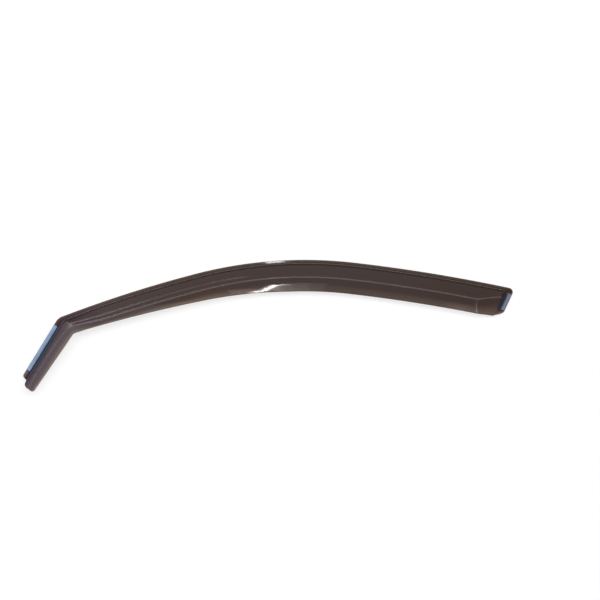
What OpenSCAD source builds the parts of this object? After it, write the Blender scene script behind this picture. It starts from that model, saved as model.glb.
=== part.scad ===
// Window rain deflector for a front car door, pushed into the window channel.
// One smoked acrylic sheet is warmed, drawn over a mould and trimmed: a flat lip runs all
// round the window side, a step lifts the blade off the glass, and a crease turns it back.
// Two strips of foam tape, still under their release film, lie on the lip at both ends.
// It lies on its lip with the outer face up: +X to the rear of the car, +Y to the roof.

/* [Sheet] */
// Thickness of the acrylic sheet
sheet_t = 3; // [2:0.25:4]
// Width of the flat lip that goes into the window channel
lip_w = 8; // [7:0.5:11]
// Width that the step wall covers, seen from above
step_run = 3.5; // [3:0.5:8]
// Height of the shoulder above the table
step_h = 13.5; // [9:0.5:18]
// Distance from the window line to the crease
crease_w = 43; // [36:0.5:50]
// Height of the crease above the table
crease_h = 20; // [16:0.5:26]
// Inside radius of the bend at the foot of the step
foot_r = 2; // [1:0.5:4]
// Outside radius of the bend at the shoulder
shoulder_r = 5.5; // [4:0.5:8]
// Outside radius of the crease
crease_r = 6; // [4:0.5:10]

/* [Window line] */
// Slope of the straight leg beside the mirror, in degrees
leg_slope = 62; // [54:1:70]
// Radius of the corner between the leg and the top
corner_r = 21; // [14:1:30]
// Slope of the top where it leaves the corner, in degrees
front_slope = 22.8; // [18:0.2:28]
// Length of the straight stretch behind the corner
front_straight = 26; // [20:1:60]
// Radius of the front part of the roof line
front_r = 2000; // [1200:50:4000]
// Angle that the front part turns, in degrees
front_turn = 6.4; // [3:0.2:9]
// Radius of the crown of the roof line
crown_r = 674; // [500:10:1000]
// Angle that the crown turns, in degrees
crown_turn = 23.8; // [16:0.2:30]
// Radius of the rear part of the roof line
rear_r = 2600; // [1500:50:5000]
// Angle that the rear part turns, in degrees
rear_turn = 6.3; // [3:0.1:9]

/* [Blade] */
// Width from the window line to the lower edge, at the corner
corner_w = 45; // [44:0.5:50]
// Width from the window line to the lower edge, at the full blade
blade_full_w = 66; // [58:0.5:76]
// Length over which the blade grows to its full width
blade_grow = 400; // [250:10:560]
// Height of the lower edge at the corner
corner_edge_h = 14; // [12:0.5:18]
// Height of the lower edge at the full blade
edge_full_h = 9; // [6:0.5:14]

/* [Leg] */
// Length of the lip on the leg, from the corner down to its tab
tab_length = 122; // [110:1:126]
// Length of the blade on the leg, from the corner down to its tip
tip_length = 139; // [136:1:180]
// Angle by which the tip slants back towards its inner edge, in degrees
tip_slant = 15; // [0:1:20]
// Width of the lip on the leg, which carries the tape
leg_lip_w = 9.5; // [8.5:0.5:12]
// Width of the leg at its tip
tip_w = 34.5; // [32:0.5:42]
// Width of the leg where it enters the corner
leg_top_w = 41.5; // [38:0.5:44]
// Radius of the tip beside the lip
tip_outer_r = 8; // [4:0.5:10]
// Radius of the tip at the inner edge
tip_inner_r = 5; // [3:0.5:8]
// Height of the leg's inner edge
leg_edge_h = 11; // [8:0.5:14]
// Distance from the window line to the soft crown of the leg
leg_crown_w = 24; // [22:0.5:27]
// Height of the soft crown of the leg
leg_crown_h = 15.5; // [14:0.5:18]

/* [Rear end] */
// Slope of the rear end, in degrees
end_slope = 67; // [56:1:76]
// Width of the lip along the rear end
end_lip_w = 9; // [8:0.5:11]
// Width that the rear step wall covers, seen from above
end_step_run = 3.5; // [3:0.5:6]
// Distance from the rear end to the corner of the crease, along the window line
facet_length = 57; // [50:1:80]
// Distance from the window line to where the crease meets the rear step
crease_end_w = 29; // [25:0.5:34]
// Distance from the window line to the lower edge where it meets the rear step
blade_end_w = 61.5; // [58:0.5:66]
// Height of the lower edge where it meets the rear step
edge_end_h = 4.5; // [3.5:0.5:8]
// Radius of the upper rear corner
end_upper_r = 10; // [4:0.5:12]
// Length that the lower rear corner is cut back along the lower edge
end_cut_length = 14.5; // [8:0.5:15]
// Width over which the lower rear corner is cut back
end_cut_w = 13.5; // [10:0.5:15]

/* [Tape] */
// Thickness of the foam tape
tape_t = 0.8; // [0.5:0.1:1.5]
// Thickness of the release film on the tape
film_t = 0.2; // [0.1:0.05:0.3]
// Width of the tape on the leg
leg_tape_w = 7; // [5:0.2:7.2]
// Length of the tape on the leg
leg_tape_length = 100; // [60:1:101]
// Distance from the corner to the tape on the leg
leg_tape_start = 6; // [3:1:7]
// Width of the tape on the rear end
end_tape_w = 6.2; // [4:0.2:6.4]
// Length of the tape on the rear end
end_tape_length = 34; // [24:1:35]
// Distance from the window line to the tape on the rear end, along the rear end
end_tape_start = 13; // [10:1:16]
// Distance from the outer edge of the lip to the tape
tape_inset = 0.8; // [0.4:0.1:1.2]
// Radius of the tape's corners
tape_corner_r = 0.8; // [0.4:0.1:1.5]

/* [Hidden] */

smoke = [0.27, 0.23, 0.22];
foam_grey = [0.16, 0.17, 0.20];
film_blue = [0.53, 0.65, 0.80];

// Directions: along gives the way the window line runs, inward the way to the glass
function along(slope) = [cos(slope), sin(slope)];
function inward(slope) = [sin(slope), -cos(slope)];
function mix(a, b, part) = a + (b - a) * part;
function clamped(part) = min(1, max(0, part));
function ease(part) = part * part * (3 - 2 * part);

// The window line: a straight leg, a corner, a short straight and three arcs
half_turn = (leg_slope - front_slope) / 2;
corner_reach = corner_r * tan(half_turn);
corner_arc = corner_r * 2 * half_turn * PI / 180;
front_end = front_straight + front_r * front_turn * PI / 180;
crown_end = front_end + crown_r * crown_turn * PI / 180;
line_end = crown_end + rear_r * rear_turn * PI / 180;
end_line_slope = front_slope - front_turn - crown_turn - rear_turn;

function arc_end(start, slope, radius, turn) =
    start + radius * (inward(slope) - inward(slope - turn));
front_start_point = (corner_reach + front_straight) * along(front_slope);
crown_start_point = arc_end(front_start_point, front_slope, front_r, front_turn);
rear_start_point = arc_end(crown_start_point, front_slope - front_turn, crown_r, crown_turn);

// Slope and point of the window line at a distance s behind the corner
function line_slope(s) =
    s < front_straight ? front_slope
    : s < front_end ? front_slope - (s - front_straight) / front_r * 180 / PI
    : s < crown_end ? front_slope - front_turn - (s - front_end) / crown_r * 180 / PI
    : front_slope - front_turn - crown_turn - (s - crown_end) / rear_r * 180 / PI;
function line_point(s) =
    s < front_straight ? (corner_reach + s) * along(front_slope)
    : s < front_end ? arc_end(front_start_point, front_slope, front_r, front_slope - line_slope(s))
    : s < crown_end ? arc_end(crown_start_point, front_slope - front_turn, crown_r,
                              front_slope - front_turn - line_slope(s))
    : arc_end(rear_start_point, front_slope - front_turn - crown_turn, rear_r,
              front_slope - front_turn - crown_turn - line_slope(s));

// Every row of the sheet runs beside the window line at an offset w. At the corner the
// leg's row and the top's row meet on the bisector, where all rows have the same radius.
function row_corner(w) = w * inward(front_slope) + w * tan(half_turn) * along(front_slope);
function leg_point(length, w) = row_corner(w) - (corner_reach + length) * along(leg_slope);
function corner_point(part, w) =
    leg_point(0, w) + corner_r * (inward(leg_slope) - inward(leg_slope - 2 * half_turn * part));
function top_point(s, w) = line_point(s) + w * inward(line_slope(s));
function top_start(w) = w * tan(half_turn);

// Ends of the rows: the tab and the rounded tip on the leg, and the sloping rear end
leg_shoulder_w = leg_lip_w + step_run;
tab_r = 0.3 * leg_lip_w;
function rounding(from_side, radius) =
    from_side >= radius ? 0 : radius - sqrt(radius * radius - pow(radius - max(0, from_side), 2));
function leg_length(w) =
    w <= leg_lip_w ? tab_length - rounding(w, tab_r)
    : w <= leg_shoulder_w
        ? mix(tab_length, tip_length - tip_outer_r, (w - leg_lip_w) / step_run)
    : tip_length - (w - leg_shoulder_w) * tan(tip_slant)
      - max(rounding(w - leg_shoulder_w, tip_outer_r), rounding(tip_w - w, tip_inner_r));

end_skew = end_slope - end_line_slope - 90;
end_slant = tan(-end_skew);
end_cut_power = 1.05;
function end_trim(w) =
    max(rounding(w, end_upper_r),
        end_cut_length * pow(clamped(1 - (blade_end_w - w) / end_cut_w), end_cut_power));
function trimmed(w, inset) = inset + end_trim(w) * (1 - inset / facet_end);
function end_s(w, inset) = line_end - w * end_slant - inset / cos(end_skew);

// The corner of the crease, where the rear facet folds away from the lower band
fold_slant = tan(-line_slope(line_end - facet_length));
function fold_s(w) = line_end - facet_length + fold_slant * max(0, w - crease_w);

// A rounded bend at b between the flats that run to a and to c, as a curve of a few steps
function bend(a, b, c, radius, steps) =
    let (u = (a - b) / norm(a - b), v = (c - b) / norm(c - b))
    let (room = 0.48 * min(norm(a - b), norm(c - b)))
    let (reach = min(radius * sqrt((1 + u * v) / (1 - u * v)), room))
    [for (i = [0 : steps])
        let (k = i / steps)
        b + reach * ((1 - k) * (1 - k) * u + k * k * v)];

// The section across the sheet, from the window line to the lower edge
function section(lip, crease, edge, ridge_r) =
    let (outer = [0, sheet_t], foot = [lip, sheet_t], shoulder = [lip + step_run, step_h])
    let (foot_bend = bend(outer, foot, shoulder, foot_r, 3))
    let (shoulder_bend = bend(foot, shoulder, crease, shoulder_r, 4))
    let (crease_bend = bend(shoulder, crease, edge, ridge_r, 4))
    let (face_a = shoulder_bend[4], face_b = crease_bend[0], band_a = crease_bend[4])
    concat([outer], [for (k = [0.1, 0.3, 0.6]) mix(outer, foot_bend[0], k)], foot_bend,
           shoulder_bend, [for (k = [0.2 : 0.2 : 0.8]) mix(face_a, face_b, k)], crease_bend,
           [for (k = [0.3, 0.55, 0.75, 0.9]) mix(band_a, edge, k)], [edge]);

// Where the crease and the edge lie along the sheet. A negative s is a distance down the leg.
crease_fade_start = -60;
crease_fade_length = 128;
leg_crown_r = 12;
function crease_part(s) = ease(clamped((s - crease_fade_start) / crease_fade_length));
function grow_part(s) = let (u = clamped(s / blade_grow)) (u + sin(90 * u)) / 2;
function crease_at(s) =
    [mix(leg_crown_w, crease_w, crease_part(s)), mix(leg_crown_h, crease_h, crease_part(s))];
function leg_edge(length) =
    [mix(leg_top_w, tip_w, length / tip_length),
     mix(corner_edge_h, leg_edge_h, ease(length / tip_length))];
function corner_edge(part) = [mix(leg_top_w, corner_w, ease(part)), corner_edge_h];
function top_edge(s) =
    [mix(corner_w, blade_full_w, grow_part(s)), mix(corner_edge_h, edge_full_h, grow_part(s))];

function section_at(s, edge) =
    section(mix(leg_lip_w, lip_w, crease_part(s)), crease_at(s), edge,
            mix(leg_crown_r, crease_r, crease_part(s)));

// The rear facet: the crease runs up to the rear step and the edge comes down to it
shoulder_w = lip_w + step_run;
face_rise = (crease_h - step_h) / (crease_w - shoulder_w);
function facet_section(part) =
    let (w = mix(crease_w, crease_end_w, part))
    let (edge = mix(top_edge(line_end), [blade_end_w, edge_end_h], part))
    section(lip_w, [w, step_h + face_rise * (w - shoulder_w)], edge, crease_r);

// The rear step: how far the section has risen at an inset from the rear end
end_bend = concat([[0, 0]],
    bend([0, 0], [end_lip_w, 0], [end_lip_w + end_step_run, step_h - sheet_t], foot_r, 3),
    bend([end_lip_w, 0], [end_lip_w + end_step_run, step_h - sheet_t],
         [facet_length, step_h - sheet_t], shoulder_r, 4));
facet_end = end_bend[len(end_bend) - 1][0];
function end_height(w, full_height, inset) =
    mix(sheet_t, full_height, lookup(trimmed(w, inset), end_bend) / (step_h - sheet_t));

// Stations along the sheet, from the tip of the leg to the rear end. Each holds its section
// as a list of points in space.
leg_steps = 26;
corner_steps = 12;
top_steps = 54;
facet_steps = 6;

leg_stations = [for (i = [0 : leg_steps - 1])
    let (part = 1 - i / leg_steps)
    let (length = tip_length * part)
    let (cut = section_at(-length - corner_arc, leg_edge(length)))
    [for (p = cut) [each leg_point(leg_length(p[0]) * part, p[0]), p[1]]]];
corner_stations = [for (i = [0 : corner_steps])
    let (part = i / corner_steps)
    let (cut = section_at((part - 1) * corner_arc, corner_edge(part)))
    [for (p = cut) [each corner_point(part, p[0]), p[1]]]];
top_stations = [for (i = [1 : top_steps])
    let (part = i / top_steps)
    let (s = (line_end - facet_length) * part)
    let (cut = section_at(s, top_edge(s)))
    [for (p = cut) [each top_point(mix(top_start(p[0]), fold_s(p[0]), part), p[0]), p[1]]]];
facet_stations = [for (i = [1 : facet_steps - 1])
    let (part = i / facet_steps)
    let (cut = facet_section(part))
    [for (p = cut) [each top_point(mix(fold_s(p[0]), end_s(p[0], facet_end), part), p[0]), p[1]]]];
end_stations = [for (i = [len(end_bend) - 1 : -1 : 0])
    let (inset = end_bend[i][0], cut = facet_section(1))
    [for (p = cut)
        [each top_point(end_s(p[0], trimmed(p[0], inset)), p[0]), end_height(p[0], p[1], inset)]]];

placed = concat(leg_stations, corner_stations, top_stations, facet_stations, end_stations);
stations = len(placed);
rows = len(placed[0]);

// The middle of the whole outline is set over the origin
all_x = [for (cut = placed) for (p = cut) p[0]];
all_y = [for (cut = placed) for (p = cut) p[1]];
middle = [(min(all_x) + max(all_x)) / 2, (min(all_y) + max(all_y)) / 2, 0];
outer_face = [for (cut = placed) [for (p = cut) p - middle]];

// The inner face lies one sheet thickness below the outer face, square to it. A point that
// is closer than this to the top of the lip counts as lying on the lip.
lip_closeness = 0.001;
function across(i, j) =
    outer_face[i][min(rows - 1, j + 1)] - outer_face[i][max(0, j - 1)];
function lengthwise(i, j) =
    outer_face[min(stations - 1, i + 1)][j] - outer_face[max(0, i - 1)][j];
function square_to(i, j) =
    let (n = cross(across(i, j), lengthwise(i, j)))
    outer_face[i][j][2] < sheet_t + lip_closeness ? [0, 0, 1] : n / norm(n);
inner_face = [for (i = [0 : stations - 1]) [for (j = [0 : rows - 1])
    outer_face[i][j] - sheet_t * square_to(i, j)]];

module shield() {
    layer = stations * rows;
    function at(i, j) = i * rows + j;
    rim = concat([for (i = [0 : stations - 1]) at(i, 0)],
                 [for (j = [1 : rows - 1]) at(stations - 1, j)],
                 [for (i = [stations - 2 : -1 : 0]) at(i, rows - 1)],
                 [for (j = [rows - 2 : -1 : 1]) at(0, j)]);
    cells = [for (i = [0 : stations - 2]) for (j = [0 : rows - 2]) [i, j]];
    // Each four-sided cell is cut along the diagonal that folds it least
    function facing(a, b, c) = let (n = cross(b - a, c - a)) n / norm(n);
    function split_cell(i, j) =
        let (a = outer_face[i][j], b = outer_face[i + 1][j])
        let (c = outer_face[i + 1][j + 1], d = outer_face[i][j + 1])
        facing(a, b, c) * facing(a, c, d) > facing(a, b, d) * facing(b, c, d)
        ? [[at(i, j), at(i + 1, j), at(i + 1, j + 1)],
           [at(i, j), at(i + 1, j + 1), at(i, j + 1)]]
        : [[at(i, j), at(i + 1, j), at(i, j + 1)],
           [at(i + 1, j), at(i + 1, j + 1), at(i, j + 1)]];
    top_faces = [for (c = cells) each split_cell(c[0], c[1])];
    low_faces = [for (f = top_faces) [layer + f[2], layer + f[1], layer + f[0]]];
    rim_faces = [for (k = [0 : len(rim) - 1])
        let (a = rim[k], b = rim[(k + 1) % len(rim)])
        each [[b, a, layer + a], [b, layer + a, layer + b]]];
    color(smoke)
    polyhedron([for (cut = outer_face) each cut, for (cut = inner_face) each cut],
               concat(top_faces, low_faces, rim_faces));
}

// A strip with rounded corners that starts at the origin and runs along +X
module strip(length, width, thickness) {
    inset = tape_corner_r;
    linear_extrude(thickness) {
        translate([inset, 0]) square([length - 2 * inset, width]);
        translate([0, inset]) square([length, width - 2 * inset]);
        for (x = [inset, length - inset])
            for (y = [inset, width - inset])
                translate([x, y]) circle(inset, $fn = 24);
    }
}

// Places a strip on the leg's lip, from its lower end upwards, at a height
module on_leg(height) {
    start = leg_point(leg_tape_start + leg_tape_length, tape_inset + leg_tape_w);
    translate([start[0], start[1], height] - middle) rotate(leg_slope) children();
}

// Places a strip on the rear lip, from its lower end upwards, at a height
module on_end(height) {
    upper = top_point(line_end, 0) - end_tape_start * along(end_slope);
    start = upper - end_tape_length * along(end_slope)
            - tape_inset * [sin(end_slope), -cos(end_slope)];
    translate([start[0], start[1], height] - middle) rotate(end_slope) children();
}

module leg_tape() {
    color(foam_grey) on_leg(sheet_t) strip(leg_tape_length, leg_tape_w, tape_t);
}

module leg_film() {
    color(film_blue) on_leg(sheet_t + tape_t) strip(leg_tape_length, leg_tape_w, film_t);
}

module rear_tape() {
    color(foam_grey) on_end(sheet_t) strip(end_tape_length, end_tape_w, tape_t);
}

module rear_film() {
    color(film_blue) on_end(sheet_t + tape_t) strip(end_tape_length, end_tape_w, film_t);
}

shield();
leg_tape();
leg_film();
rear_tape();
rear_film();
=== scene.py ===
import math

import bpy
import numpy as np
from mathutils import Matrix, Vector


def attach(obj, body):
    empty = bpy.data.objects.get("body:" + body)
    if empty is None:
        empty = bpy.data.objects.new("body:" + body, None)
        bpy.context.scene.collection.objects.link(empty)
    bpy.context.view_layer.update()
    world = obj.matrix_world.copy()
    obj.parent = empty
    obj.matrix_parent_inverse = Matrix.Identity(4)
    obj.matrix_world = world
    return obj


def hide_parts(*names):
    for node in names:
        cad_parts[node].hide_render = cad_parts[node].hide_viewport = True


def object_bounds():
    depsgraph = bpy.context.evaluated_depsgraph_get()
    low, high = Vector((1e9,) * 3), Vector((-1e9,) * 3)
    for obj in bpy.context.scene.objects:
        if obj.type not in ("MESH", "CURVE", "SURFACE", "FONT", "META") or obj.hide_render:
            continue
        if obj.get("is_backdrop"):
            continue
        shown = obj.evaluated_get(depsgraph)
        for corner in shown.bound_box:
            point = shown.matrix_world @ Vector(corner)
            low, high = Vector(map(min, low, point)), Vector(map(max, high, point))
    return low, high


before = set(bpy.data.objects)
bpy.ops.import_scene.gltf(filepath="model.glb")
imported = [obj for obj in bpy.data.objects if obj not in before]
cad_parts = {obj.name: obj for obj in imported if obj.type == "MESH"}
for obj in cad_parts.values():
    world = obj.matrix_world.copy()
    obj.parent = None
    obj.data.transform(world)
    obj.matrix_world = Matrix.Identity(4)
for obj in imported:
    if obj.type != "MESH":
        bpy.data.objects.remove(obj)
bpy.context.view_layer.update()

# ---------------------------------------------------------------------------
# The shield. The real one is a sheet of smoked acrylic, 3 mm thick, warmed and
# drawn over a mould, then trimmed to its outline and flame-polished on the cut
# edge. Its flat lip is pushed into the window channel and taped there at both ends.
# ---------------------------------------------------------------------------
# All sizes of the sheet are in millimetres, slopes and turns in degrees.
MM = 0.001
SHEET_T = 3.0
STEP_RUN, STEP_H = 3.5, 13.5
FOOT_R, SHOULDER_R = 2.0, 5.5
LIP_W, CREASE_W, CREASE_H, CREASE_R = 8.0, 43.0, 20.0, 6.0
LEG_SLOPE, CORNER_R, FRONT_SLOPE, FRONT_STRAIGHT = 62.0, 21.0, 22.8, 26.0
ROOF_ARCS = ((2000.0, 6.4), (674.0, 23.8), (2600.0, 6.3))
CORNER_W, BLADE_FULL_W, BLADE_GROW = 45.0, 66.0, 400.0
CORNER_EDGE_H, EDGE_FULL_H = 14.0, 9.0
TAB_LENGTH, TIP_LENGTH, TIP_SLANT = 122.0, 139.0, 15.0
LEG_LIP_W, TIP_W, LEG_TOP_W = 9.5, 34.5, 41.5
TIP_OUTER_R, TIP_INNER_R, LEG_EDGE_H = 8.0, 5.0, 11.0
LEG_CROWN_W, LEG_CROWN_H, LEG_CROWN_R = 24.0, 15.5, 12.0
CREASE_FADE_START, CREASE_FADE_LENGTH = -60.0, 128.0
END_SLOPE, END_LIP_W, END_STEP_RUN, FACET_LENGTH = 67.0, 9.0, 3.5, 57.0
CREASE_END_W, BLADE_END_W, EDGE_END_H = 29.0, 61.5, 4.5
END_UPPER_R, END_CUT_LENGTH, END_CUT_W, END_CUT_POWER = 10.0, 14.5, 13.5, 1.05
TAPE_INSET = 0.8
LEG_TAPE_START, LEG_TAPE_LENGTH, LEG_TAPE_W = 6.0, 100.0, 7.0
END_TAPE_START, END_TAPE_LENGTH, END_TAPE_W = 13.0, 34.0, 6.2


def along(slope):
    return np.array([math.cos(math.radians(slope)), math.sin(math.radians(slope))])


def inward(slope):
    return np.array([math.sin(math.radians(slope)), -math.cos(math.radians(slope))])


def mix(a, b, part):
    return a + (b - a) * part


def clamped(part):
    return min(1.0, max(0.0, part))


def ease(part):
    return part * part * (3 - 2 * part)


# The window line: the leg, the corner, a short straight and three arcs. The
# distance s is counted along it from the corner to the rear.
HALF_TURN = (LEG_SLOPE - FRONT_SLOPE) / 2
CORNER_TAN = math.tan(math.radians(HALF_TURN))
CORNER_REACH = CORNER_R * CORNER_TAN
CORNER_ARC = CORNER_R * math.radians(2 * HALF_TURN)
arcs = []
arc_start = (CORNER_REACH + FRONT_STRAIGHT) * along(FRONT_SLOPE)
arc_s, arc_slope = FRONT_STRAIGHT, FRONT_SLOPE
for radius, turn in ROOF_ARCS:
    arcs.append((arc_s, arc_start, arc_slope, radius))
    arc_start = arc_start + radius * (inward(arc_slope) - inward(arc_slope - turn))
    arc_s += radius * math.radians(turn)
    arc_slope -= turn
LINE_END, END_LINE_SLOPE = arc_s, arc_slope


def line_at(s):
    """Slope and point of the window line at the distance s."""
    if s < FRONT_STRAIGHT:
        return FRONT_SLOPE, (CORNER_REACH + s) * along(FRONT_SLOPE)
    start_s, start, slope, radius = [arc for arc in arcs if arc[0] <= s][-1]
    here = slope - math.degrees((s - start_s) / radius)
    return here, start + radius * (inward(slope) - inward(here))


def leg_point(length, w):
    """The point at a distance down the leg and at the depth w from the window line."""
    corner = w * inward(FRONT_SLOPE) + w * CORNER_TAN * along(FRONT_SLOPE)
    return corner - (CORNER_REACH + length) * along(LEG_SLOPE)


def corner_point(part, w):
    here = LEG_SLOPE - 2 * HALF_TURN * part
    return leg_point(0, w) + CORNER_R * (inward(LEG_SLOPE) - inward(here))


def top_point(s, w):
    slope, point = line_at(s)
    return point + w * inward(slope)


def rounding(from_side, radius):
    """How far a rounded corner draws a row back, at a distance from the side."""
    if from_side >= radius:
        return 0.0
    return radius - math.sqrt(radius ** 2 - (radius - max(0.0, from_side)) ** 2)


TAB_CORNER_R = 0.3 * LEG_LIP_W


def leg_length(w):
    """How long the leg is at the depth w: a short tab, then the slanted tip."""
    shoulder = LEG_LIP_W + STEP_RUN
    if w <= LEG_LIP_W:
        return TAB_LENGTH - rounding(w, TAB_CORNER_R)
    if w <= shoulder:
        return mix(TAB_LENGTH, TIP_LENGTH - TIP_OUTER_R, (w - LEG_LIP_W) / STEP_RUN)
    return (TIP_LENGTH - (w - shoulder) * math.tan(math.radians(TIP_SLANT))
            - max(rounding(w - shoulder, TIP_OUTER_R), rounding(TIP_W - w, TIP_INNER_R)))


END_SKEW = math.radians(END_SLOPE - END_LINE_SLOPE - 90)
FACET_START = LINE_END - FACET_LENGTH
FOLD_SLANT = math.tan(math.radians(-line_at(FACET_START)[0]))


def fold_s(w):
    """Where the rear facet is folded, at the depth w."""
    return FACET_START + FOLD_SLANT * max(0.0, w - CREASE_W)


def end_s(w, inset):
    """Where the slanted rear end lies at the depth w, less an inset."""
    return LINE_END + w * math.tan(END_SKEW) - inset / math.cos(END_SKEW)


# A bend takes up less than half of the flat on either side, so that two bends never meet.
FLAT_SHARE = 0.48


def bend(a, b, c, radius, steps):
    """A rounded bend at b, between the flats that run to a and to c."""
    a, b, c = (np.array(p, float) for p in (a, b, c))
    reach_a, reach_c = np.linalg.norm(a - b), np.linalg.norm(c - b)
    u, v = (a - b) / reach_a, (c - b) / reach_c
    full_reach = radius * math.sqrt((1 + u @ v) / (1 - u @ v))
    reach = min(full_reach, FLAT_SHARE * min(reach_a, reach_c))
    return [b + reach * ((1 - k) ** 2 * u + k * k * v) for k in np.linspace(0, 1, steps + 1)]


def flat(a, b, parts):
    return [mix(a, b, part) for part in parts]


# The mesh's rows across the flats of the sheet, as parts of each flat's width.
LIP_PARTS, WALL_PARTS = (0.1, 0.25, 0.5, 0.75), (0.33, 0.67)
FACE_PARTS = (0.09, 0.18, 0.28, 0.37, 0.43, 0.475, 0.51, 0.54, 0.57, 0.6, 0.63, 0.66, 0.69,
              0.725, 0.77, 0.83, 0.91)
BAND_PARTS = (0.08, 0.16, 0.25, 0.34, 0.43, 0.52, 0.61, 0.7, 0.78, 0.85, 0.91, 0.96)
FOOT_STEPS, SHOULDER_STEPS, RIDGE_STEPS = 6, 8, 10
# A fine pressed bead runs on the upper face beside the crease. It rises past the corner, draws
# a little nearer to the crease on the crown of the roof, and fades there.
BEAD_H, BEAD_PLACE, BEAD_SPREAD, BEAD_DRIFT = 0.45, 0.6, 0.06, 0.07
BEAD_START, BEAD_RISE, BEAD_END, BEAD_FALL = -8, 24, 362, 80
DRIFT_START, DRIFT_LENGTH = 250, 90
# The lower band is drawn slightly round over its width.
BAND_CROWN = 0.22


def section(lip, crease, edge, ridge_r, bead=0.0, bead_place=BEAD_PLACE):
    """The sheet's outer face cut across, as (w, height) from the window line to the edge."""
    outer, foot, shoulder = (0, SHEET_T), (lip, SHEET_T), (lip + STEP_RUN, STEP_H)
    foot_bend = bend(outer, foot, shoulder, FOOT_R, FOOT_STEPS)
    shoulder_bend = bend(foot, shoulder, crease, SHOULDER_R, SHOULDER_STEPS)
    crease_bend = bend(shoulder, crease, edge, ridge_r, RIDGE_STEPS)
    outer, edge = np.array(outer, float), np.array(edge, float)
    face = [mix(shoulder_bend[-1], crease_bend[0], part)
            + (0, bead * math.exp(-((part - bead_place) / BEAD_SPREAD) ** 2))
            for part in FACE_PARTS]
    lower = [mix(crease_bend[-1], edge, part)
             + (0, BAND_CROWN * math.sin(math.pi * part)) for part in BAND_PARTS]
    return np.array(
        [outer] + flat(outer, foot_bend[0], LIP_PARTS) + foot_bend
        + flat(foot_bend[-1], shoulder_bend[0], WALL_PARTS) + shoulder_bend
        + face + crease_bend + lower + [edge])


def crease_part(s):
    """How far the leg's soft crown has become the blade's crease, from 0 to 1."""
    return ease(clamped((s - CREASE_FADE_START) / CREASE_FADE_LENGTH))


def section_at(s, edge):
    """The section of the leg, the corner and the blade, at the distance s."""
    part = crease_part(s)
    crease = (mix(LEG_CROWN_W, CREASE_W, part), mix(LEG_CROWN_H, CREASE_H, part))
    lip, ridge_r = mix(LEG_LIP_W, LIP_W, part), mix(LEG_CROWN_R, CREASE_R, part)
    rising, falling = clamped((s - BEAD_START) / BEAD_RISE), clamped((BEAD_END - s) / BEAD_FALL)
    drift = BEAD_DRIFT * ease(clamped((s - DRIFT_START) / DRIFT_LENGTH))
    bead = BEAD_H * ease(rising) * ease(falling)
    return section(lip, crease, edge, ridge_r, bead, BEAD_PLACE + drift)


def top_edge(s):
    """The blade's lower edge, as (w, height): it grows quickly at first, and then slowly."""
    u = clamped(s / BLADE_GROW)
    part = (u + math.sin(math.radians(90 * u))) / 2
    return np.array([mix(CORNER_W, BLADE_FULL_W, part), mix(CORNER_EDGE_H, EDGE_FULL_H, part)])


def facet_section(part):
    """The section of the rear facet, whose crease climbs towards the window line."""
    w = mix(CREASE_W, CREASE_END_W, part)
    shoulder = LIP_W + STEP_RUN
    rise = (CREASE_H - STEP_H) / (CREASE_W - shoulder)
    edge = mix(top_edge(LINE_END), np.array([BLADE_END_W, EDGE_END_H]), part)
    return section(LIP_W, (w, STEP_H + rise * (w - shoulder)), edge, CREASE_R)


# The rear step: how far the section has risen at an inset from the rear end.
STEP_RISE = STEP_H - SHEET_T
end_lip = [(inset, 0) for inset in (0, 1.2, 2.6, 5)]
end_top = (END_LIP_W + END_STEP_RUN, STEP_RISE)
end_foot = bend((0, 0), (END_LIP_W, 0), end_top, FOOT_R, FOOT_STEPS)
end_shoulder = bend((END_LIP_W, 0), end_top, (FACET_LENGTH, STEP_RISE), SHOULDER_R, SHOULDER_STEPS)
end_wall = flat(end_foot[-1], end_shoulder[0], WALL_PARTS)
end_bend = np.array(end_lip + end_foot + end_wall + end_shoulder)
FACET_END = end_bend[-1][0]


def trimmed(w, inset):
    """The inset at the depth w, once the end's two corners are trimmed off."""
    cut = END_CUT_LENGTH * clamped(1 - (BLADE_END_W - w) / END_CUT_W) ** END_CUT_POWER
    trim = max(rounding(w, END_UPPER_R), cut)
    return inset + trim * (1 - inset / FACET_END)


def end_height(w, height, inset):
    risen = np.interp(trimmed(w, inset), end_bend[:, 0], end_bend[:, 1]) / STEP_RISE
    return mix(SHEET_T, height, risen)


# Each station is a list of points in space, from the tip of the leg to the rear end.
LEG_STATIONS, CORNER_STATIONS, TOP_STATIONS, FACET_STATIONS = 84, 36, 200, 24
stations = []
for i in range(LEG_STATIONS):
    part = 1 - i / LEG_STATIONS
    length = TIP_LENGTH * part
    edge = (mix(LEG_TOP_W, TIP_W, part), mix(CORNER_EDGE_H, LEG_EDGE_H, ease(part)))
    stations.append([(*leg_point(leg_length(w) * part, w), z)
                     for w, z in section_at(-length - CORNER_ARC, edge)])
for i in range(CORNER_STATIONS + 1):
    part = i / CORNER_STATIONS
    edge = (mix(LEG_TOP_W, CORNER_W, ease(part)), CORNER_EDGE_H)
    stations.append([(*corner_point(part, w), z)
                     for w, z in section_at((part - 1) * CORNER_ARC, edge)])
for i in range(1, TOP_STATIONS + 1):
    part = i / TOP_STATIONS
    s = FACET_START * part
    stations.append([(*top_point(mix(w * CORNER_TAN, fold_s(w), part), w), z)
                     for w, z in section_at(s, top_edge(s))])
for i in range(1, FACET_STATIONS):
    part = i / FACET_STATIONS
    stations.append([(*top_point(mix(fold_s(w), end_s(w, FACET_END), part), w), z)
                     for w, z in facet_section(part)])
for inset in end_bend[::-1, 0]:
    stations.append([(*top_point(end_s(w, trimmed(w, inset)), w), end_height(w, z, inset))
                     for w, z in facet_section(1)])
sheet = np.array(stations)
low, high = sheet[..., :2].reshape(-1, 2).min(0), sheet[..., :2].reshape(-1, 2).max(0)
MIDDLE = (low + high) / 2
sheet[..., :2] -= MIDDLE
sheet *= MM

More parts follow.
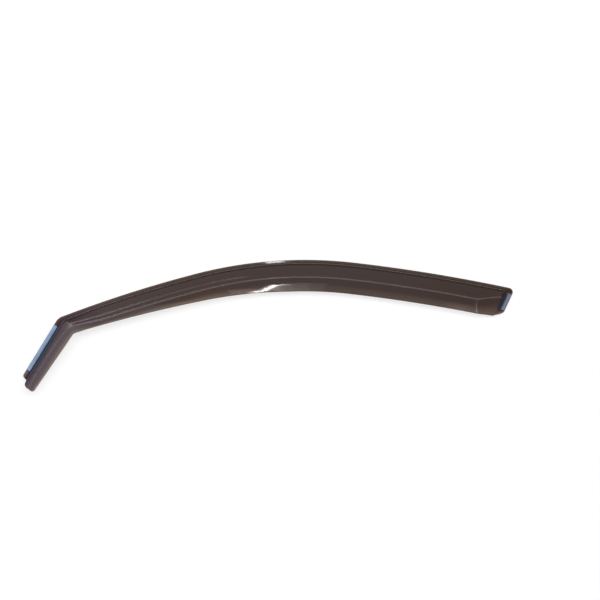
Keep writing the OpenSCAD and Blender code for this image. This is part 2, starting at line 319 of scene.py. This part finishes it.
bpy.ops.object.select_all(action="DESELECT")
bpy.ops.mesh.primitive_grid_add(x_subdivisions=sheet.shape[0] - 1,
                                y_subdivisions=sheet.shape[1] - 1, size=2)
shield = bpy.context.object
shield.name = "smoked_shield"
# The mesh's rows run from the window line to the edge, its stations from the tip to the rear end.
STATION_COUNT, ROW_COUNT = sheet.shape[:2]
BAND_ROWS = len(BAND_PARTS) + 1
FACE_ROW = 1 + len(LIP_PARTS) + FOOT_STEPS + 1 + len(WALL_PARTS) + SHOULDER_STEPS
ROOF_STATION = LEG_STATIONS + CORNER_STATIONS
FOLD_STATION = ROOF_STATION + TOP_STATIONS
# The mould leaves a matt grain on whatever stands steep, on the lip's inner half, and on foot and
# wall of the rear end, but none on the lower band. On the outer face of the leg and the corner
# the grain fades out over some millimetres from the wall. Level is 1 flat, and 0 upright.
facing = np.cross(np.gradient(sheet, axis=1), np.gradient(sheet, axis=0))
level = np.abs(facing[..., 2]) / np.linalg.norm(facing, axis=2)
level[:-len(end_bend), -BAND_ROWS:] = 1.0
level[:, len(LIP_PARTS):FACE_ROW - SHOULDER_STEPS] = 0.0
level[SHOULDER_STEPS + 1 - len(end_bend):1 - len(end_lip)] = 0.0
LEG_GRAIN_LEVEL, ROOF_GRAIN_LEVEL, GRAIN_EASE = 0.72, 0.86, 0.3
GRAIN_SHARE, GRAIN_FADE, ROOF_EASE = 0.30, 11.0, 24
# The warm sheet stretches at the fold and over the corner, which leaves its gloss duller there.
FOLD_DULLNESS, FOLD_SPREAD, RIDGE_DULL_ROWS = 0.6, 1.4, 4
CORNER_DULL_END, DULL_END = -0.265, -0.245
# The lip is painted dark blue from the tapes up to the foot of the step, fainter at the rear:
# a painted reflection of the blue film in the glossy wall, and painted shade at the step's foot.
leg_start = leg_point(LEG_TAPE_START + LEG_TAPE_LENGTH, TAPE_INSET + LEG_TAPE_W) - MIDDLE
end_start = (top_point(LINE_END, 0) - (END_TAPE_START + END_TAPE_LENGTH) * along(END_SLOPE)
             - TAPE_INSET * inward(END_SLOPE) - MIDDLE)
REFLECTION_W, REFLECTION_TOP, REAR_REFLECTION = 6.0, 11.0, 0.4


def film_reflection_at(point):
    """How strongly the blue film's reflection is painted at a point, in millimetres: only beside a
    tape, low on the lip.
    """
    for start, slope, length, side, width, reflection_share in (
            (leg_start, LEG_SLOPE, LEG_TAPE_LENGTH, 1, 0, 1.0),
            (end_start, END_SLOPE, END_TAPE_LENGTH, -1, END_TAPE_W, REAR_REFLECTION)):
        u = (point[:2] - start) @ along(slope)
        v = side * (point[:2] - start) @ inward(slope) - width
        if 0 < u < length and 0 < v < REFLECTION_W and point[2] < REFLECTION_TOP:
            return reflection_share
    return 0.0


# The tint is made paler as painted light: at the rim of the lip a painted sheen, over the roof's
# step painted light, and towards the lower edge, where it changes along the part, painted light
# that comes in under the blade. A spot at the corner is a painted highlight.
# The shares go with the rows, and the last ones with x in metres.
rows = np.arange(ROW_COUNT)
rim_sheen = np.interp(rows, (0, 1, 2, 3, 4), (0.45, 0.40, 0.25, 0.08, 0.0))
step_light = np.interp(rows, (10, 11, 19, 20, 21, 22), (0.0, 0.4, 0.4, 0.3, 0.15, 0.0))
CORNER_HIGHLIGHT, HIGHLIGHT_SPREAD, HIGHLIGHT_MIDDLE = 0.5, 0.005, np.array([-0.3475, -0.0050])
BAND_LIGHT_START = 0.3
band = np.array(BAND_PARTS + (1.0,))
band_light = np.zeros(ROW_COUNT)
band_light[-BAND_ROWS:] = ease(np.clip((band - BAND_LIGHT_START) / (1 - BAND_LIGHT_START), 0, 1))
band_light_along = np.interp(sheet[:, -1, 0],
                           (-0.33, -0.10, 0.00, 0.10, 0.25, 0.30, 0.335, 0.36, 0.40),
                           (0.90, 1.00, 0.60, 0.20, 0.30, 0.30, 0.80, 0.60, 0.60))
# The shares on the points: grain, duller gloss, the painted reflection of the blue film, and
# painted light.
MARKS = ("steepness", "dullness", "primer", "paleness")
for mark in MARKS:
    shield.data.attributes.new(mark, "FLOAT", "POINT")
steepness, dullness, primer, paleness = (shield.data.attributes[mark] for mark in MARKS)
for vertex in shield.data.vertices:
    i = round((vertex.co.x + 1) / 2 * (STATION_COUNT - 1))
    j = round((1 - vertex.co.y) / 2 * (ROW_COUNT - 1))
    point = sheet[i, j]
    vertex.co = Vector(point)
    on_roof = ease(clamped((i - ROOF_STATION) / ROOF_EASE))
    from_wall = np.linalg.norm(point - sheet[i, FACE_ROW]) / MM
    fading = 1 - ease(clamped(from_wall / GRAIN_FADE))
    grain = GRAIN_SHARE * fading * (1 - on_roof) * (j >= FACE_ROW)
    grain_level = mix(LEG_GRAIN_LEVEL, ROOF_GRAIN_LEVEL, on_roof)
    standing = ease(clamped((grain_level - level[i, j]) / GRAIN_EASE))
    steepness.data[vertex.index].value = max(grain, standing)
    below_ridge = j >= ROW_COUNT - BAND_ROWS - RIDGE_DULL_ROWS
    at_fold = FOLD_DULLNESS * math.exp(-((i - FOLD_STATION) / FOLD_SPREAD) ** 2)
    past_corner = (sheet[i, -1, 0] - CORNER_DULL_END) / (DULL_END - CORNER_DULL_END)
    dullness.data[vertex.index].value = below_ridge * max(at_fold, 1 - ease(clamped(past_corner)))
    # The painted reflection of the blue film beside the tapes, and painted light where the tint is
    # made paler.
    primer.data[vertex.index].value = film_reflection_at(point / MM)
    corner_highlight = math.exp(-(np.linalg.norm(point[:2] - HIGHLIGHT_MIDDLE) / HIGHLIGHT_SPREAD) ** 2)
    paleness.data[vertex.index].value = (
        rim_sheen[j] + step_light[j] * on_roof + band_light[j] * band_light_along[i]
        + CORNER_HIGHLIGHT * corner_highlight)
thick = shield.modifiers.new("sheet", "SOLIDIFY")
thick.thickness, thick.offset = SHEET_T * MM, -1
bpy.ops.object.modifier_apply(modifier=thick.name)
RIM_R, RIM_ANGLE, SMOOTH_ANGLE = 0.5, math.radians(60), math.radians(38)
rim = shield.modifiers.new("polished_rim", "BEVEL")
rim.width, rim.segments, rim.limit_method = RIM_R * MM, 3, "ANGLE"
rim.angle_limit, rim.use_clamp_overlap = RIM_ANGLE, True
bpy.ops.object.modifier_apply(modifier=rim.name)
bpy.ops.object.shade_smooth_by_angle(angle=SMOOTH_ANGLE)


class Value:
    """A socket's value, so that an expression on it adds its Math nodes."""

    def __init__(self, nodes, socket):
        self.nodes, self.socket = nodes, socket

    def maths(self, operation, *values):
        return self.nodes.add("ShaderNodeMath", {"operation": operation},
                              dict(enumerate(values)))["Value"]

    def __add__(self, other):
        return self.maths("ADD", self, other)

    def __radd__(self, other):
        return self.maths("ADD", other, self)

    def __sub__(self, other):
        return self.maths("SUBTRACT", self, other)

    def __rsub__(self, other):
        return self.maths("SUBTRACT", other, self)

    def __mul__(self, other):
        return self.maths("MULTIPLY", self, other)

    def __rmul__(self, other):
        return self.maths("MULTIPLY", other, self)

    def held(self):
        return self.nodes.add("ShaderNodeClamp", {}, {"Value": self})["Result"]


class Outputs:
    """The output sockets of one node, by name."""

    def __init__(self, nodes, node):
        self.nodes, self.node = nodes, node

    def __getitem__(self, name):
        return Value(self.nodes, self.node.outputs[name])


class Nodes:
    """A new material's node tree, filled from its shader backwards."""

    def __init__(self, name=None, tree=None):
        if tree is None:
            self.material = bpy.data.materials.new(name)
            self.material.use_nodes = True
            tree = self.material.node_tree
        self.tree = tree
        self.tree.nodes.clear()

    def add(self, kind, settings, sockets):
        node = self.tree.nodes.new(kind)
        for key, value in settings.items():
            if key == "stops":
                ramp = node.color_ramp
                while len(ramp.elements) < len(value):
                    ramp.elements.new(0.5)
                for element, (place, colour) in zip(ramp.elements, value):
                    element.position, element.color = place, (*colour, 1)
            else:
                setattr(node, key, value)
        for key, value in sockets.items():
            socket = node.inputs[key]
            if isinstance(value, Value):
                self.tree.links.new(value.socket, socket)
            elif isinstance(value, tuple) and socket.type == "RGBA" and len(value) == 3:
                socket.default_value = (*value, 1)
            else:
                socket.default_value = value
        return Outputs(self, node)

    def mark(self, name):
        """One of the shares that go with the points of the mesh."""
        return self.add("ShaderNodeAttribute", {"attribute_name": name}, {})["Fac"]

    def colour_mix(self, factor, first, second, blend="MIX"):
        sockets = {0: factor, 6: first, 7: second}
        node = self.add("ShaderNodeMix", {"data_type": "RGBA", "blend_type": blend}, sockets)
        return Value(self, node.node.outputs[2])

    def noise(self, place, scale, detail, roughness=0.5):
        return self.add("ShaderNodeTexNoise", {}, {
            "Vector": place, "Scale": scale, "Detail": detail, "Roughness": roughness})["Fac"]

    def stretched(self, place, scale, turn):
        return self.add("ShaderNodeMapping", {}, {
            "Vector": place, "Scale": scale, "Rotation": turn})["Vector"]

    def ranged(self, value, low, high, to_low=0.0, to_high=1.0):
        return self.add("ShaderNodeMapRange", {"clamp": True}, {
            "Value": value, "From Min": low, "From Max": high,
            "To Min": to_low, "To Max": to_high})["Result"]

    def bump(self, height, strength, distance):
        return self.add("ShaderNodeBump", {}, {
            "Strength": strength, "Distance": distance, "Height": height})["Normal"]

    def surface(self, shader):
        self.add("ShaderNodeOutputMaterial", {}, {"Surface": shader})
        return self.material


# The tint changes along the sheet, from the leg to the rear end, with faint streaks in it: purple
# towards the leg, a painted reflection of bluish light, and paler just past the corner, painted
# light. Painted light also makes it paler elsewhere, and beside the tapes a painted reflection of
# the blue film covers it with blue.
TINT_START, TINT_END = -0.43, 0.37
PAINTED_LIGHT_TINT, FILM_REFLECTION_BLUE, MATT_FILM_REFLECTION_BLUE = (0.215, 0.155, 0.122), (0.024, 0.046, 0.090), (0.022, 0.060, 0.120)
MATT_SHADE, DULL_ROUGHNESS = (0.98, 0.98, 0.98), 0.3
acrylic = Nodes("smoked_acrylic_sheet")
place = acrylic.add("ShaderNodeTexCoord", {}, {})["Object"]
cloud = acrylic.noise(place, 9.0, 3.0)
peel = acrylic.noise(place, 260.0, 2.0)
hairline = acrylic.noise(acrylic.stretched(place, (1, 14, 1), (0, 0, 0.5)), 90.0, 4.0, 0.7)
steep = acrylic.mark("steepness")
pale = acrylic.mark("paleness")
sideways = acrylic.add("ShaderNodeSeparateXYZ", {}, {"Vector": place})["X"]
tint_along = acrylic.add("ShaderNodeValToRGB", {"stops": (
    (0.00, (0.074, 0.041, 0.063)), (0.09, (0.074, 0.040, 0.057)), (0.17, (0.102, 0.066, 0.067)),
    (0.28, (0.088, 0.060, 0.056)), (0.39, (0.086, 0.055, 0.048)), (0.60, (0.078, 0.053, 0.047)),
    (0.82, (0.074, 0.050, 0.043)), (1.00, (0.068, 0.040, 0.032)))},
    {"Fac": acrylic.ranged(sideways, TINT_START, TINT_END)})["Color"]
streaky = acrylic.colour_mix(cloud, (0.87, 0.87, 0.87), (1.01, 1.01, 1.01))
full_tint = acrylic.colour_mix(1.0, tint_along, streaky, "MULTIPLY")
# Painted light makes the tint paler here.
smoke_tint = acrylic.colour_mix(pale, full_tint, PAINTED_LIGHT_TINT)
# Beside the tapes the tint turns blue, a painted reflection of the blue film.
film_reflection_share = acrylic.mark("primer")
tint = acrylic.colour_mix(film_reflection_share, smoke_tint, FILM_REFLECTION_BLUE)
dull = acrylic.mark("dullness")
# The gloss is a little uneven, and hairline scratches take some of it.
rough = (acrylic.ranged(cloud, 0.35, 0.7, 0.018, 0.034)
         + acrylic.ranged(hairline, 0.66, 0.85, 0.0, 0.05) + dull * DULL_ROUGHNESS)
relief = acrylic.bump(peel, 0.012, 0.0002)
smoke = acrylic.add("ShaderNodeBsdfPrincipled", {}, {
    "Base Color": tint, "Roughness": rough, "IOR": 1.49, "Transmission Weight": 1.0,
    "Normal": relief})["BSDF"]
# The matt grain of the mould scatters the light that goes through it, and has no gloss.
matt_tint = acrylic.colour_mix(1.0, smoke_tint, MATT_SHADE, "MULTIPLY")
# The painted reflection of the blue film lies on the matt grain too.
matt_colour = acrylic.colour_mix(film_reflection_share, matt_tint, MATT_FILM_REFLECTION_BLUE)
matt = acrylic.add("ShaderNodeBsdfPrincipled", {}, {
    "Base Color": matt_colour, "Roughness": 0.75, "IOR": 1.1, "Transmission Weight": 1.0,
    "Normal": relief})["BSDF"]
shield.data.materials.clear()
shield.data.materials.append(acrylic.surface(
    acrylic.add("ShaderNodeMixShader", {}, {0: steep, 1: smoke, 2: matt})["Shader"]))
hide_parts("shield")
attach(shield, "root")

# ---------------------------------------------------------------------------
# The foam tapes. The real ones are soft navy foam, coated with glue on both
# faces. They are cut from a roll, so their ends are square with worn corners,
# and pressed on the lip, one on the leg and one at the rear end.
# ---------------------------------------------------------------------------
TAPE_T, TAPE_CORNER_R, TAPE_WEAR = 0.8, 0.8, 0.12
SOFT_ANGLE = math.radians(50)


def strip(name, start, slope, length, width, low, thickness, cuts, worn):
    """A strip cut from a roll, from its lower end upwards, with soft corners and edges.

    The mesh is divided into short lengths, one more than the number of cuts across it."""
    bpy.ops.object.select_all(action="DESELECT")
    bpy.ops.mesh.primitive_cube_add(size=1)
    made = bpy.context.object
    made.name = name
    for vertex in made.data.vertices:
        vertex.co = Vector(((vertex.co.x + 0.5) * length, (vertex.co.y + 0.5) * width,
                            low + (vertex.co.z + 0.5) * thickness)) * MM
    corners = made.modifiers.new("cut_corners", "BEVEL")
    corners.width, corners.segments, corners.limit_method = TAPE_CORNER_R * MM, 5, "WEIGHT"
    weights = made.data.attributes.new("bevel_weight_edge", "FLOAT", "EDGE")
    for edge in made.data.edges:
        a, b = (made.data.vertices[k].co for k in edge.vertices)
        weights.data[edge.index].value = float(abs(a.z - b.z) > 0.5 * thickness * MM)
    bpy.ops.object.modifier_apply(modifier=corners.name)
    edges = made.modifiers.new("pressed_edges", "BEVEL")
    edges.width, edges.segments, edges.limit_method = worn * MM, 2, "ANGLE"
    edges.angle_limit = SOFT_ANGLE
    bpy.ops.object.modifier_apply(modifier=edges.name)
    bpy.ops.object.mode_set(mode="EDIT")
    for k in range(1, cuts):
        bpy.ops.mesh.select_all(action="SELECT")
        bpy.ops.mesh.bisect(plane_co=(length * k / cuts * MM, 0, 0), plane_no=(1, 0, 0))
    bpy.ops.object.mode_set(mode="OBJECT")
    turn = np.array([along(slope), -inward(slope)])
    for vertex in made.data.vertices:
        x, y = start * MM + np.array([vertex.co.x, vertex.co.y]) @ turn
        vertex.co = Vector((x, y, vertex.co.z))
    bpy.ops.object.shade_smooth_by_angle(angle=SOFT_ANGLE)
    return made


leg_foam = strip("leg_foam", leg_start, LEG_SLOPE, LEG_TAPE_LENGTH, LEG_TAPE_W,
                 SHEET_T, TAPE_T, 40, TAPE_WEAR)
rear_foam = strip("rear_foam", end_start, END_SLOPE, END_TAPE_LENGTH, END_TAPE_W,
                  SHEET_T, TAPE_T, 16, TAPE_WEAR)

foam = Nodes("navy_foam")
place = foam.add("ShaderNodeTexCoord", {}, {})["Object"]
cells = foam.add("ShaderNodeTexVoronoi", {"feature": "F1"},
                 {"Vector": place, "Scale": 2600.0})["Distance"]
grain = foam.noise(place, 700.0, 3.0)
# The foam's edge shows beside the film; its navy is partly its own colour and partly a painted
# reflection of the blue film.
navy_and_film_reflection = foam.colour_mix(grain, (0.020, 0.026, 0.048), (0.040, 0.050, 0.085))
relief = foam.bump(cells, 0.5, 0.0001)
foam_material = foam.surface(foam.add("ShaderNodeBsdfPrincipled", {}, {
    "Base Color": navy_and_film_reflection, "Roughness": foam.ranged(grain, 0.3, 0.7, 0.75, 0.92),
    "Normal": relief})["BSDF"])
for piece, node_name in ((leg_foam, "leg_tape"), (rear_foam, "rear_tape")):
    piece.data.materials.append(foam_material)
    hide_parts(node_name)
    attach(piece, "root")

# ---------------------------------------------------------------------------
# The release films. The real ones are thin siliconised films, light blue and
# slightly glossy, that keep the glue of the tapes clean until the part is
# fitted. They come on the roll with the tape and are cut with it.
# ---------------------------------------------------------------------------
FILM_T, FILM_CUT, FILM_WEAR, EMBOSS_SHARE = 0.2, 0.7, 0.04, 0.35


def release_film(name, pale, deep):
    """A film's colour with faint clouds, a fine slanting emboss and small pressed dents."""
    film = Nodes(name)
    place = film.add("ShaderNodeTexCoord", {}, {})["Object"]
    cloud = film.noise(place, 60.0, 3.0)
    emboss = film.add("ShaderNodeTexWave", {"wave_type": "BANDS", "bands_direction": "DIAGONAL"},
                      {"Vector": place, "Scale": 260.0, "Distortion": 1.5, "Detail": 2.0})["Fac"]
    dents = film.noise(place, 130.0, 2.0)
    blue = film.colour_mix(film.ranged(cloud, 0.3, 0.7), deep, pale)
    relief = film.bump(emboss * EMBOSS_SHARE + dents, 0.25, 0.0002)
    return film.surface(film.add("ShaderNodeBsdfPrincipled", {}, {
        "Base Color": blue, "Roughness": film.ranged(cloud, 0.3, 0.7, 0.22, 0.34), "IOR": 1.45,
        "Normal": relief})["BSDF"])


leg_film = strip("leg_release_film", leg_start - FILM_CUT * inward(LEG_SLOPE), LEG_SLOPE,
                 LEG_TAPE_LENGTH, LEG_TAPE_W - FILM_CUT, SHEET_T + TAPE_T, FILM_T, 60, FILM_WEAR)
rear_film = strip("rear_release_film", end_start, END_SLOPE,
                  END_TAPE_LENGTH, END_TAPE_W - FILM_CUT, SHEET_T + TAPE_T, FILM_T, 24, FILM_WEAR)
# The rear film is the same film as the leg's; its darker blue is painted shade.
for piece, node_name, pale, deep in (
        (leg_film, "leg_film", (0.27, 0.39, 0.60), (0.20, 0.29, 0.44)),
        (rear_film, "rear_film", (0.17, 0.20, 0.29), (0.13, 0.155, 0.23))):
    piece.data.materials.append(release_film(piece.name + "_blue", pale, deep))
    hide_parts(node_name)
    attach(piece, "root")

# ---------------------------------------------------------------------------
# The floor is a plain white sheet, which isn't part of the object. It looks
# white to the camera and in the sheet's gloss, and keeps the soft shadow.
# ---------------------------------------------------------------------------
FLOOR_SIZE, FLOOR_DROP, PAPER, GLOW = 24, 0.0005, 0.30, 0.735
bpy.ops.object.select_all(action="DESELECT")
bpy.ops.mesh.primitive_plane_add(size=FLOOR_SIZE, location=(0, 0, -FLOOR_DROP))
floor = bpy.context.object
floor.name = "floor"
white = Nodes("white_floor")
path = white.add("ShaderNodeLightPath", {}, {})
seen = (path["Is Camera Ray"] + path["Is Glossy Ray"] + path["Is Transmission Ray"]).held()
paper = white.add("ShaderNodeBsdfDiffuse", {}, {"Color": (PAPER, PAPER, PAPER)})["BSDF"]
glow = white.add("ShaderNodeEmission", {}, {"Color": (1, 1, 1), "Strength": GLOW})["Emission"]
lit = white.add("ShaderNodeAddShader", {}, {0: paper, 1: glow})["Shader"]
floor.data.materials.append(white.surface(
    white.add("ShaderNodeMixShader", {}, {0: seen, 1: paper, 2: lit})["Shader"]))
floor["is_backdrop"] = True

# ---------------------------------------------------------------------------
# The light of a plain studio: white walls, three panels under the ceiling and one
# on either side. The small lamps only matter as reflections: the streak and the
# glow on the lower band, the spark on the lip, the sheen on corner and ridge.
# ---------------------------------------------------------------------------
world = bpy.data.worlds.new("studio_walls")
world.use_nodes = True
bpy.context.scene.world = world
room = Nodes(tree=world.node_tree)
direction = room.add("ShaderNodeTexCoord", {}, {})["Generated"]
facing = room.add("ShaderNodeSeparateXYZ", {}, {"Vector": direction})
# The lower wall is white in front of the object and dim behind it, the upper wall dim all round.
LOW_FRONT, LOW_BACK, HIGH_FRONT, HIGH_BACK = 1.0, 0.12, 0.14, 0.28
upwards = room.ranged(facing["Z"], 0.30, 0.50)
low_wall = room.ranged(facing["Y"], -0.35, 0.25, LOW_FRONT, LOW_BACK)
high_wall = room.ranged(facing["Y"], -0.50, -0.20, HIGH_FRONT, HIGH_BACK)
wall = room.add("ShaderNodeBackground", {}, {
    "Color": (1, 1, 1), "Strength": low_wall + upwards * (high_wall - low_wall)})["Background"]
room.add("ShaderNodeOutputWorld", {}, {"Surface": wall})


def lamp(name, place, width, depth, radiance, turn=0.0, aim=None):
    """A flat lamp that faces down, or towards a point. Its power follows from its radiance."""
    data = bpy.data.lights.new(name, "AREA")
    data.shape, data.size, data.size_y = "RECTANGLE", width, depth
    data.energy = radiance * math.pi * width * depth
    made = bpy.data.objects.new(name, data)
    bpy.context.scene.collection.objects.link(made)
    made.location = place
    made.rotation_euler = (0, 0, math.radians(turn))
    if aim is not None:
        made.rotation_euler = (Vector(aim) - Vector(place)).to_track_quat("-Z", "Y").to_euler()


# Two heights for what hangs above: the last three lamps hang a little lower, clear of the panels.
CEILING, LOWER, SIDE = 2.4, 2.39, 3.0
lamp("ceiling_panel", (0.0, 0.39, CEILING), 2.6, 1.68, 1.35)
lamp("front_panel", (1.25, -2.6, CEILING), 1.2, 1.8, 0.45)
lamp("back_panel", (-0.3, 2.02, CEILING), 3.2, 0.94, 1.0)
lamp("left_panel", (-SIDE, 0.3, 2.0), 1.6, 3.0, 3.0, aim=(0, 0, 0))
lamp("right_panel", (SIDE, 0.3, 2.0), 1.6, 3.0, 3.0, aim=(0, 0, 0))
lamp("streak_tube", (0.2015, -1.065, CEILING), 0.245, 0.028, 28.0, turn=105.5)
lamp("streak_flank", (0.2010, -1.060, CEILING), 0.260, 0.058, 4.5, turn=105)
lamp("streak_tail", (0.250, -1.188, CEILING), 0.104, 0.034, 19.0, turn=130)
lamp("streak_trail", (0.299, -1.246, CEILING), 0.046, 0.034, 7.0, turn=130)
lamp("streak_end", (0.162, -0.950, CEILING), 0.066, 0.030, 18.0, turn=-23)
lamp("streak_haze", (0.34, -1.22, CEILING), 0.18, 0.20, 0.7)
lamp("near_glow", (0.1675, -1.0575, CEILING), 0.035, 0.175, 2.6)
lamp("middle_glow", (0.155, -1.0575, CEILING), 0.060, 0.175, 1.6)
lamp("wide_glow", (0.1425, -1.040, CEILING), 0.105, 0.210, 0.9)
lamp("blade_panel", (0.09, -1.0625, CEILING), 0.09, 0.375, 0.85)
lamp("blade_sheen", (0.0525, -1.0625, CEILING), 0.165, 0.375, 0.5)
lamp("blade_haze", (-0.0075, -1.10, CEILING), 0.285, 0.30, 0.18)
lamp("lip_lamp", (0.004, 1.41, LOWER), 0.036, 0.07, 15.0)
lamp("corner_lamp", (-0.795, 1.85, LOWER), 0.59, 1.20, 2.1)
lamp("ridge_lamp", (-0.46, 1.85, LOWER), 0.08, 0.60, 1.2)

# ---------------------------------------------------------------------------
# The camera looks down at the photograph's angle, from far away with a long lens.
# The middle of its picture lies to the right of the object's middle, and above it.
# ---------------------------------------------------------------------------
ELEVATION, DISTANCE = math.radians(62), 17.5
VIEW_RIGHT, VIEW_UP = 0.0551, 0.0477
bpy.ops.object.select_all(action="DESELECT")
data = bpy.data.cameras.new("camera")
data.type, data.lens, data.sensor_width = "PERSP", 600, 36
camera = bpy.data.objects.new("camera", data)
bpy.context.scene.collection.objects.link(camera)
target = Vector((VIEW_RIGHT, VIEW_UP * math.sin(ELEVATION), VIEW_UP * math.cos(ELEVATION)))
camera.location = target + DISTANCE * Vector((0, -math.cos(ELEVATION), math.sin(ELEVATION)))
camera.rotation_euler = (math.pi / 2 - ELEVATION, 0, 0)
bpy.context.scene.camera = camera
bpy.context.scene.view_settings.view_transform = "Standard"

low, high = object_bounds()
